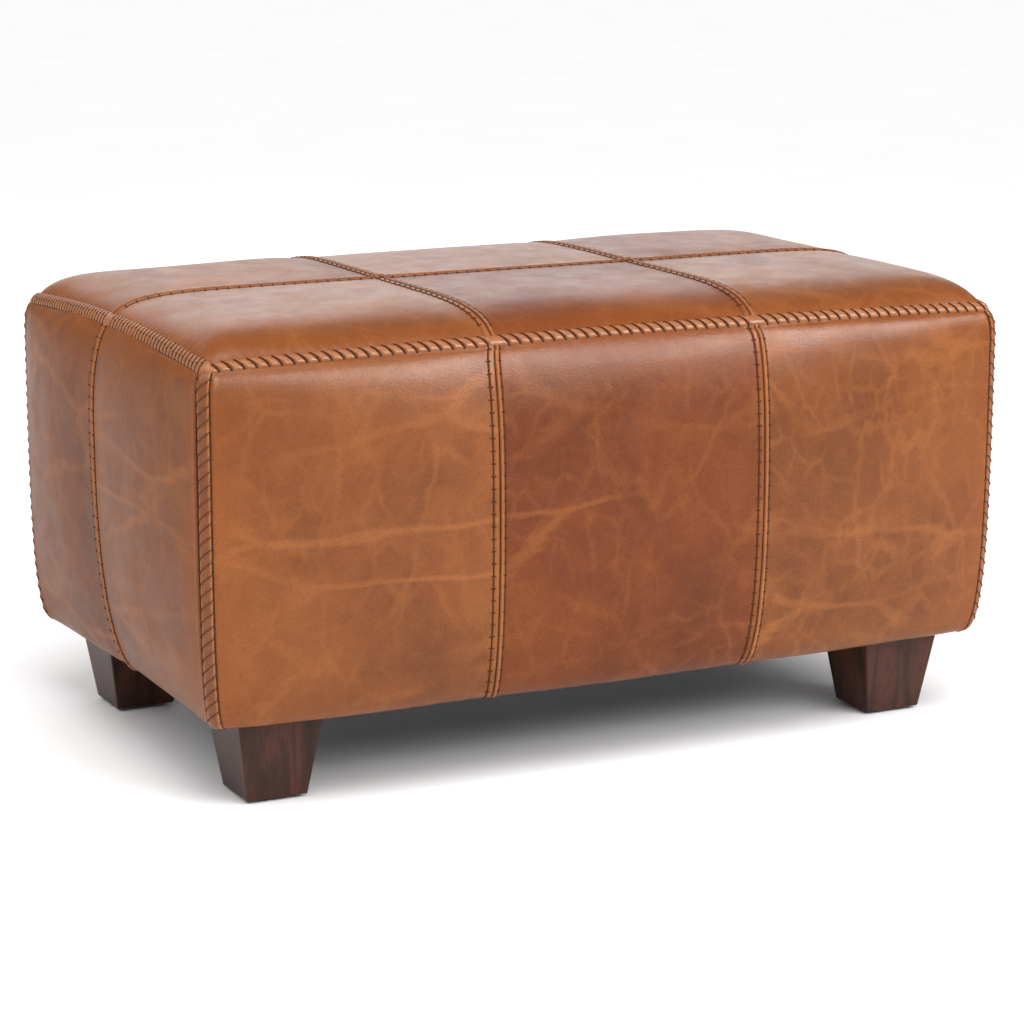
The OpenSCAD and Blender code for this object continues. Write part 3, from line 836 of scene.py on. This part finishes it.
def laced_edge(side):
    """A rolled edge, pinched where its stitches cross it, and the stitches themselves."""
    long = side in LONG_SIDES
    half = HALF_W if long else HALF_D
    pitch = STITCH if long else END_STITCH
    length = 2 * half
    stops = np.linspace(0, length, 4 if long else 3)
    stops[0] -= PLAIN * 0.4
    stops[-1] += PLAIN * 0.4
    places = stitch_places(stops, pitch)
    lean = LEAN if long else LEAN * 0.5
    roll_wide = ROLL_WIDE * (1.0 if long else 1.22)
    reach = 1 + ROLL_PAST / half
    f = np.linspace(-reach, reach, int(length / (0.9 * MM)))
    p, out, across = edge_line(side, f)
    run = (f + 1) * half
    turn = np.linspace(-ROLL_SWEEP * math.pi, ROLL_SWEEP * math.pi, 25)
    # Across the roll: +1 towards the seat, -1 down the wall
    part = np.sin(turn / (2 * ROLL_SWEEP))
    mid = run[:, None] + lean * leaning(part)[None, :]
    gap = np.abs(mid[..., None] - places[None, None, :]).min(-1)
    pinch = np.exp(-((gap / (0.17 * pitch)) ** 2))
    # Painted shade in the pinches where the stitches cross the roll
    near = np.exp(-((gap / (1.3 * MM if long else 0.9 * MM)) ** 2))
    swell = 1 - (0.44 if long else 0.30) * pinch
    left_over = np.minimum(run + ROLL_PAST, length + ROLL_PAST - run).clip(0) / ROLL_CLOSE
    close = np.sqrt(1 - (1 - left_over.clip(0, 1)) ** 2).clip(0.02)[:, None]
    wide = (close * roll_wide * (0.92 + 0.08 * swell))[..., None]
    high = (close * ROLL_HIGH * swell)[..., None]
    points = (
        p[:, None]
        + np.sin(turn)[None, :, None] * wide * across[:, None]
        + np.cos(turn)[None, :, None] * high * out[:, None]
    )
    mirror = MIRROR[side]
    faces = grid_faces(len(f), len(turn), mirror.prod() > 0)
    # Painted shade along the roll's foot, where it meets the wall
    roll_foot_shade = np.exp(-(((part + 1) / 0.08) ** 2))[None, :]
    leather_piece(
        f"roll_top_{side}", points * mirror, faces, edge_leather, "welt_leather", f"top_welt_{side}",
        edge=0 * pinch,
        ridge=(1 - pinch) * 0.9 * np.cos(turn / 2)[None, :].clip(0, 1),
        crease=np.maximum(near * (0.85 if long else 0.6), roll_foot_shade * 0.5),
    )
    lacing = Tubes()
    for place in places:
        lace(lacing, side, place, lean, roll_wide * 0.95 + THREAD_R * 0.3)
    declare(lacing.build(f"lacing_top_{side}", [thread, hole]))


for side in MIRROR:
    laced_edge(side)

# ---- stitched corner bands ----

CORNER_R = 0.0085
CORNER_SIGNS = {f"{y}_{x}": MIRROR[y] * MIRROR[x] for y in ("front", "back") for x in ("left", "right")}
# Across the band, in mm from its edge on the end wall: its width, its bright ridge and its outline
BAND_WIDE = 16.6
BAND_RIDGE = 14.2
BAND_PROFILE = curve(
    [(0, -0.5), (1.2, 0.1), (6, 0.9), (11, 0.4), (12.6, 0.5)]
    + [(BAND_RIDGE, 1.9), (15.6, 1.0), (BAND_WIDE, -0.4)]
)


def corner_lines(w):
    """The corner's line of meeting walls for w from 0 at the foot to 1 at the top."""
    z = wall_height(w, CORNER_WIDE_Z, RING_Z - CORNER_DROP - 1 * MM)
    c = corner_out(z)
    return z, -HALF_W - c, -HALF_D - c


def band_frame(w, s):
    """Points and normals on the rounded corner: s from 0 on the end wall to 1 on the front wall."""
    z, x0, y0 = corner_lines(w)
    flat = CORNER_CLEAR - CORNER_R
    arc = CORNER_R * math.pi / 2
    d = s * (arc + 2 * flat)
    angle = np.clip((d - flat) / arc, 0, 1) * math.pi / 2
    nx, ny = -np.cos(angle), -np.sin(angle)
    x = x0 + CORNER_R + nx * CORNER_R + np.clip(d - flat - arc, 0, None)
    y = y0 + CORNER_R + ny * CORNER_R + np.clip(flat - d, 0, None)
    shape = np.broadcast(x, z).shape
    p = np.stack([np.broadcast_to(x, shape), np.broadcast_to(y, shape), np.broadcast_to(z, shape)], axis=-1)
    n = np.stack([np.broadcast_to(nx, shape), np.broadcast_to(ny, shape), np.zeros(shape)], axis=-1)
    return p, n


def corner_band(corner, mirror):
    """The band around an upright corner, with a row of holes, dark beads of painted shade, on both sides and
    slanting threads.
    """
    rows = 200
    w = np.linspace(0.0, 1.0, rows)[:, None]
    flat_part, ridge_part = np.linspace(0.1, 0.66, 10), np.linspace(0.70, 0.97, 12)
    s = np.concatenate([[0, 0.03, 0.06], flat_part, ridge_part, [1.0]])[None, :]
    p, n = band_frame(w, s)
    line, _ = band_frame(w, np.array([[0.5]]))
    run = distances(line[:, 0])
    depth = BAND_PROFILE(s * BAND_WIDE * MM)
    start, stop = 0.016, run[-1] - 0.010
    count = int(round((stop - start) / STITCH))
    holes = np.linspace(start, stop, count + 1)
    gap = np.abs(run[:, None] - holes[None, :]).min(1)
    pinch = np.exp(-((gap / (2.2 * MM)) ** 2))[:, None] * (1 - np.exp(-(((s - 0.5) / 0.35) ** 4)))
    points = (p + n * (depth - 0.5 * MM * pinch)[..., None]) * mirror
    faces = grid_faces(rows, s.shape[1], mirror.prod() < 0)
    ridge = np.exp(-(((s * BAND_WIDE - BAND_RIDGE) / 1.2) ** 2)) + 0 * w
    # Painted shade: the band's base is darker and more saturated away from its ridge, and darker still at its
    # edges where it meets the walls
    crease = 0.18 * (1 - ridge) + 0.25 * np.exp(-((np.minimum(s, 1 - s) * BAND_WIDE) ** 2))
    leather_piece(
        f"band_corner_{corner}", points, faces, edge_leather, "welt_leather", f"corner_welt_{corner}",
        edge=0.5 * (1 - ridge), ridge=ridge, crease=crease,
    )
    lacing = Tubes()

    def at(distance, s_at, lift):
        ww = np.interp(distance, run, w[:, 0])
        q, m = band_frame(np.atleast_1d(ww), np.atleast_1d(s_at))
        return q + m * (BAND_PROFILE(np.atleast_1d(s_at) * BAND_WIDE * MM) + lift)[:, None], m

    # A slanting thread climbs from one hole to the next while it crosses the band
    sweep = np.linspace(0.03, 0.93, 9)
    for i, h in enumerate(holes):
        for s_at in (0.0, 1.0):
            q, m = at(h, s_at, 1.0 * MM)
            lacing.bead(q[0] * mirror, m[0] * mirror, np.array([0, 0, 1.0]), (1.7 * MM, 1.3 * MM, 0.6 * MM))
        if i + 1 < len(holes):
            q, _ = at(mix(h, holes[i + 1], (sweep - 0.03) / 0.9), sweep, 0.25 * MM)
            lacing.tube(q * mirror, THREAD_R * 1.35, slot=2)
    declare(lacing.build(f"lacing_corner_{corner}", [thread, hole, corner_thread]))


for corner, mirror in CORNER_SIGNS.items():
    corner_band(corner, mirror)

# ---- topstitching beside the seams ----


def stitch_row(tubes, path, normal, sideways, long_tick):
    """Stitches along a path of points: a sunken thread, and at each end a dark bead of painted hole shade
    with a cross tick.
    """
    run = distances(path)
    count = int(round(run[-1] / STITCH))
    places = (np.arange(count) + 0.5) * run[-1] / count

    def at(d, values=path):
        return np.stack([np.interp(d, run, values[:, i]) for i in range(3)], axis=-1)

    half = run[-1] / count / 2
    for place in places:
        here = np.atleast_1d(place)
        n, b = unit(at(here, normal))[0], unit(at(here, sideways))[0]
        c = cover.settle(at(here), n)[0]
        ahead = at(here + 1 * MM)[0] - at(here - 1 * MM)[0]
        tubes.bead(c, n, ahead, (1.6 * MM, 1.25 * MM, 0.5 * MM))
        tick = np.linspace(-1, 1, 5)[:, None]
        line = cover.settle(c + b * tick * long_tick / 2, np.tile(n, (5, 1)))
        tubes.tube(line + n * 0.3 * MM, THREAD_R * 1.25, 5)
        d = np.clip(place + np.linspace(1.0 * MM, 2 * half - 1.0 * MM, 7), 0, run[-1])
        if d[-1] > d[0] + half * 0.5:
            ways = unit(at(d, normal))
            lift = np.array([-0.2, 0.2, 0.35, 0.1, 0.35, 0.2, -0.2])[:, None] * MM
            tubes.tube(cover.settle(at(d), ways) + ways * lift, THREAD_R * 1.3, 5)


def wall_row(point, f, offset, half, side):
    """A stitch row up a wall at a seam's fraction f, offset from it in metres."""
    w = wall_rows(np.linspace(0.035, 0.985, 260))
    ff = np.full_like(w, f + offset / half)
    base = point(ff, w)
    right = point(ff + 1e-3, w) - point(ff - 1e-3, w)
    up = np.gradient(base, axis=0)
    mirror = MIRROR[side]
    return base * mirror, unit(np.cross(right, up)) * mirror, unit(right) * mirror


def seat_row(u, v, offset_u, offset_v):
    """A stitch row along a seam of the seat, offset from it in metres."""
    uu, vv = u + offset_u / HALF_W, v + offset_v / HALF_D
    base = seat_point(uu, vv)
    e = 1e-3
    right = seat_point(uu + e, vv) - seat_point(uu - e, vv)
    back = seat_point(uu, vv + e) - seat_point(uu, vv - e)
    return base, unit(np.cross(right, back)), unit(right if offset_u else back)


# Length of the cross ticks in each row, and how far from the laced edges the seat's rows stop
TICK = {"flat": 0.0050, "ridge": 0.0032}
ROW_CLEAR = 9 * MM
reach_v = np.linspace(-1 + ROW_CLEAR / HALF_D, 1 - ROW_CLEAR / HALF_D, 300)
reach_u = np.linspace(-1 + ROW_CLEAR / HALF_W, 1 - ROW_CLEAR / HALF_W, 500)


def seam_stitching(name, point, f, half, sides, over_seat):
    """The stitch rows on both sides of a seam that runs over the seat and down two walls, as one piece."""
    tubes = Tubes()
    for kind, sign in (("flat", -1), ("ridge", 1)):
        offset = sign * ROW[kind]
        for row in [*(wall_row(point, f, offset, half, side) for side in sides), over_seat(offset)]:
            stitch_row(tubes, *row, TICK[kind])
    declare(tubes.build(f"seam_stitching_{name}", [thread, hole]))


for name, third in (("left", -1 / 3), ("right", 1 / 3)):
    seam_stitching(
        name, front_point, third, HALF_W, ("front", "back"),
        lambda offset: seat_row(np.full_like(reach_v, third), reach_v, offset, 0),
    )
seam_stitching(
    "middle", end_point, 0.0, HALF_D, ("left", "right"),
    lambda offset: seat_row(reach_u, np.zeros_like(reach_u), 0, offset),
)

# ---- padding, webbing and dust cloth ----

PAD_UNDER = LEATHER_T + 0.4 * MM
WADDING_T = 0.008


def closed_pad(name, outer, inner, material, flip):
    """A closed solid between two grids of the same size, its rim pulled in a little and rounded."""
    rows, cols = outer.shape[:2]
    rim_row = np.minimum(np.arange(rows), np.arange(rows)[::-1])
    rim_col = np.minimum(np.arange(cols), np.arange(cols)[::-1])
    ease = np.minimum(np.minimum.outer(rim_row, rim_col) / 2, 1)[..., None]
    middle = (outer + inner) / 2
    outer = mix(middle + (outer - middle) * 0.86, outer, ease)
    inner = mix(middle + (inner - middle) * 0.86, inner, ease)
    points = np.concatenate([outer.reshape(-1, 3), inner.reshape(-1, 3)])
    return mesh_object(name, points, shell_faces(rows, cols, flip), [material])


def wall_pad(side, material):
    """The foam behind one wall: it follows the leather outside and the boards inside."""
    long = side in LONG_SIDES
    low, high = (np.array(corner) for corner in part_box(f"{side}_foam"))
    half = HALF_W if long else HALF_D
    reach = (1 - 24 * MM / RING_W) if long else 0.87
    f, w = np.meshgrid(np.linspace(-reach, reach, 90 if long else 52), np.linspace(0.02, 0.985, 46))
    base = (front_point if long else end_point)(f, w)
    outer = base - normals_of(base) * PAD_UNDER
    inner = outer.copy()
    axis = 1 if long else 0
    inner[..., axis] = high[axis] if side in ("front", "left") else -low[axis]
    mirror = MIRROR[side]
    obj = closed_pad(f"foam_{side}", outer * mirror, inner * mirror, material, mirror.prod() < 0)
    declare(obj, f"{side}_foam")


def seat_layer(inset, reach_u, reach_v, shape):
    """A layer under the seat's leather, inset from its surface."""
    u, v = np.meshgrid(np.linspace(-reach_u, reach_u, shape[0]), np.linspace(-reach_v, reach_v, shape[1]))
    base = seat_point(u, v)
    return base - normals_of(base) * inset


def seat_pads(foam_material, wadding_material):
    """The seat's foam block and the wadding over it."""
    low, high = (np.array(corner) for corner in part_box("seat_foam"))
    span = (high[0] / (HALF_W + END_BOW), high[1] / (HALF_D + FRONT_BOW))
    outer = seat_layer(PAD_UNDER + WADDING_T + 0.6 * MM, *span, (110, 66))
    inner = outer.copy()
    inner[..., 2] = low[2]
    obj = closed_pad("foam_seat", outer, inner, foam_material, False)
    declare(obj, "seat_foam")
    span = (1 - 14 * MM / RING_W, 1 - 20 * MM / RING_D)
    outer, inner = (seat_layer(d, *span, (110, 66)) for d in (PAD_UNDER, PAD_UNDER + WADDING_T))
    obj = closed_pad("wadding_seat", outer, inner, wadding_material, False)
    declare(obj, "seat_wadding")


def strap_mesh(name, straps, material, thickness):
    """Flat straps, each a list of centre points with the strap's across direction and width."""
    points, faces = [], []
    for path, across, width in straps:
        side = np.linspace(-0.5, 0.5, 5)
        top = path[:, None] + across[None, None] * (side * width)[None, :, None]
        start = len(points)
        lift = np.array([0, 0, thickness])
        points.extend(np.concatenate([(top + lift / 2).reshape(-1, 3), (top - lift / 2).reshape(-1, 3)]))
        faces.extend([[i + start for i in face] for face in shell_faces(*top.shape[:2])])
    return mesh_object(name, points, faces, [material], smooth=False)


LONG_STRAPS, CROSS_STRAPS = 3, 7
STRAP_T = 0.0014


def webbing(material):
    """Straps woven over and under each other across the top of the frame."""
    (x0, y0, z0), (x1, y1, _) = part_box("long_webbing")
    (cx0, cy0, _), (cx1, cy1, z1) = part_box("cross_webbing")
    width = (y1 - y0) / 4.7
    middle = (z0 + z1) / 2
    ys = np.linspace(y0 + width / 2, y1 - width / 2, LONG_STRAPS)
    xs = np.linspace(cx0 + width / 2, cx1 - width / 2, CROSS_STRAPS)
    weave = 0.5 * (z1 - z0 - STRAP_T)

    def over(distance, phase):
        return weave * np.cos(distance) * phase

    long_straps, cross_straps = [], []
    for j, y in enumerate(ys):
        x = np.linspace(x0, x1, 260)
        z = middle + over((x - xs[0]) / (xs[1] - xs[0]) * math.pi, (-1) ** j)
        long_straps.append((np.stack([x, 0 * x + y, z], -1), np.array([0.0, 1.0, 0.0]), width))
    for i, x in enumerate(xs):
        y = np.linspace(cy0, cy1, 150)
        z = middle - over((y - ys[0]) / (ys[1] - ys[0]) * math.pi, (-1) ** i)
        cross_straps.append((np.stack([0 * y + x, y, z], -1), np.array([-1.0, 0.0, 0.0]), width))
    for name, straps, size in (
        ("long", long_straps, (x1 - x0, LONG_STRAPS * width)),
        ("cross", cross_straps, (cy1 - cy0, CROSS_STRAPS * width)),
    ):
        obj = strap_mesh(f"straps_{name}", straps, material, STRAP_T)
        declare(obj, f"{name}_webbing")


def dust_cloth(material):
    """Thin cloth stapled under the frame, sagging a little and puckered at its staples."""
    (x0, y0, z0), (x1, y1, z1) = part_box("dust_cover")
    x, y = np.meshgrid(np.linspace(x0, x1, 200), np.linspace(y0, y1, 112))
    u, v = 2 * x / (x1 - x0), 2 * y / (y1 - y0)
    sag = 0.0022 * (1 - u**4) * (1 - v**4)
    staple_gap = 0.06
    long_sides = np.cos(2 * math.pi * x / staple_gap) * np.abs(v) ** 9
    short_sides = np.cos(2 * math.pi * y / staple_gap) * np.abs(u) ** 14
    pucker = 0.0004 * (long_sides + short_sides)
    feet = [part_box(f"foot_{a}_{b}") for a in ("front", "back") for b in ("left", "right")]
    clear = np.ones_like(x)
    for low, high in feet:
        gap = np.maximum.reduce([low[0] - x, x - high[0], low[1] - y, y - high[1]])
        clear = np.minimum(clear, np.clip(gap / 0.05, 0, 1))
    points = np.stack([x, y, (z0 + z1) / 2 - (sag + pucker) * clear], axis=-1)
    obj = mesh_object("cloth_under", points.reshape(-1, 3), grid_faces(*x.shape, True), [material])
    thicken(obj, 0.5 * MM)
    declare(obj, "dust_cover")


walnut = walnut_material()
glide = plain_material("glide_plastic", srgb(28, 25, 23), srgb(52, 47, 43), 220.0, 0.6)
steel = plain_material("zinc_steel", srgb(150, 150, 148), srgb(190, 190, 188), 160.0, 0.36, metallic=1.0)
pine = plain_material("sawn_pine", srgb(196, 160, 108), srgb(222, 192, 142), 22.0, 0.7, (1, 8, 8))
board = plain_material("plain_board", srgb(156, 124, 84), srgb(188, 156, 112), 60.0, 0.8)
foam = plain_material("pale_foam", srgb(226, 216, 186), srgb(246, 240, 220), 420.0, 0.95)
wadding = plain_material("white_wadding", srgb(228, 228, 224), srgb(250, 250, 248), 130.0, 0.95, depth=0.002)
jute = weave_material("jute_webbing", srgb(120, 98, 62), srgb(200, 178, 132), 260.0)
dust = weave_material("dust_cloth", srgb(14, 13, 13), srgb(44, 41, 40), 330.0)
for side in MIRROR:
    wall_pad(side, foam)
seat_pads(foam, wadding)
webbing(jute)
dust_cloth(dust)

# ---- what carries over from the design ----

finish_of = {"walnut": walnut, "glide": glide, "steel": steel, "pine": pine, "board": board}
for part in frame["record"]["subparts"]:
    node = bpy.data.objects.get(part["node"])
    if node is not None and part["material_slot"] in finish_of and node.type == "MESH":
        node.data.materials.clear()
        node.data.materials.append(finish_of[part["material_slot"]])

# ---- camera, floor and light ----

camera_data = bpy.data.cameras.new("camera")
camera_data.lens = 111.1
camera_data.sensor_width = 36
camera_data.clip_end = 100
camera = placed("camera", camera_data)
bpy.context.scene.camera = camera
turn, tilt = math.radians(26.77), math.radians(12.28)
camera.location = (-1.4745, -2.9370, 0.9259)
look = Vector((math.sin(turn) * math.cos(tilt), math.cos(turn) * math.cos(tilt), -math.sin(tilt)))
roll = Quaternion((0, 0, 1), math.radians(0.10))
camera.rotation_euler = (look.to_track_quat("-Z", "Y") @ roll).to_euler()

floor_mesh = bpy.data.meshes.new("floor")
floor_mesh.from_pydata([(-30, -30, 0), (30, -30, 0), (30, 30, 0), (-30, 30, 0)], [], [(0, 1, 2, 3)])
floor = placed("floor", floor_mesh)
paper = Nodes("paper_floor")
paleness = paper.ramp(paper.noise(paper.place(), 3.0), [(0.3, (0.93, 0.93, 0.93)), (0.7, (0.95, 0.95, 0.95))])
floor_mesh.materials.append(paper.feed(Base_Color=paleness, Roughness=0.9))


def area_light(name, place, aim, size, power):
    data = bpy.data.lights.new(name, "AREA")
    data.shape = "RECTANGLE"
    data.size, data.size_y = size
    data.energy = power
    light = placed(name, data)
    light.location = place
    light.rotation_euler = (Vector(aim) - Vector(place)).to_track_quat("-Z", "Y").to_euler()
    light.visible_camera = False
    return light


# A broad, even key light from above and in front, and a pale wall of light behind
key_data = bpy.data.lights.new("key", "SUN")
key_data.energy = 2.1
key_data.angle = math.radians(38)
key = placed("key", key_data)
key_turn, key_height = math.radians(-8), math.radians(64)
key_level = math.cos(key_height)
key_way = Vector((math.sin(key_turn) * key_level, -math.cos(key_turn) * key_level, math.sin(key_height)))
key.rotation_euler = (-key_way).to_track_quat("-Z", "Y").to_euler()
area_light("back_wall", (1.6, 3.6, 1.4), (0, 0, 0.4), (3.6, 1.5), 22)
area_light("back_high", (0.1, 3.6, 2.5), (0, 0, 0.4), (3.0, 0.9), 10)
area_light("front_panel", (1.00, -2.00, 1.30), (0, -0.2, 0.42), (2.0, 0.65), 36)
front_gloss = area_light("front_gloss", (1.00, -2.00, 1.40), (0, -0.2, 0.42), (2.0, 0.40), 46)
front_gloss.visible_diffuse = False
area_light("left_fill", (-1.9, -0.2, 1.9), (-0.7, 0, 0.0), (1.6, 1.6), 22)

world = bpy.data.worlds.new("studio")
world.use_nodes = True
world_nodes, world_links = world.node_tree.nodes, world.node_tree.links
sky = world_nodes["Background"]
sky.inputs["Color"].default_value = (1, 1, 1, 1)
ray = world_nodes.new("ShaderNodeLightPath")
level = world_nodes.new("ShaderNodeMapRange")
world_links.new(ray.outputs["Is Camera Ray"], level.inputs["Value"])
level.inputs["To Min"].default_value = 0.46
level.inputs["To Max"].default_value = 1.05
world_links.new(level.outputs["Result"], sky.inputs["Strength"])
bpy.context.scene.world = world
bpy.context.scene.view_settings.view_transform = "Standard"
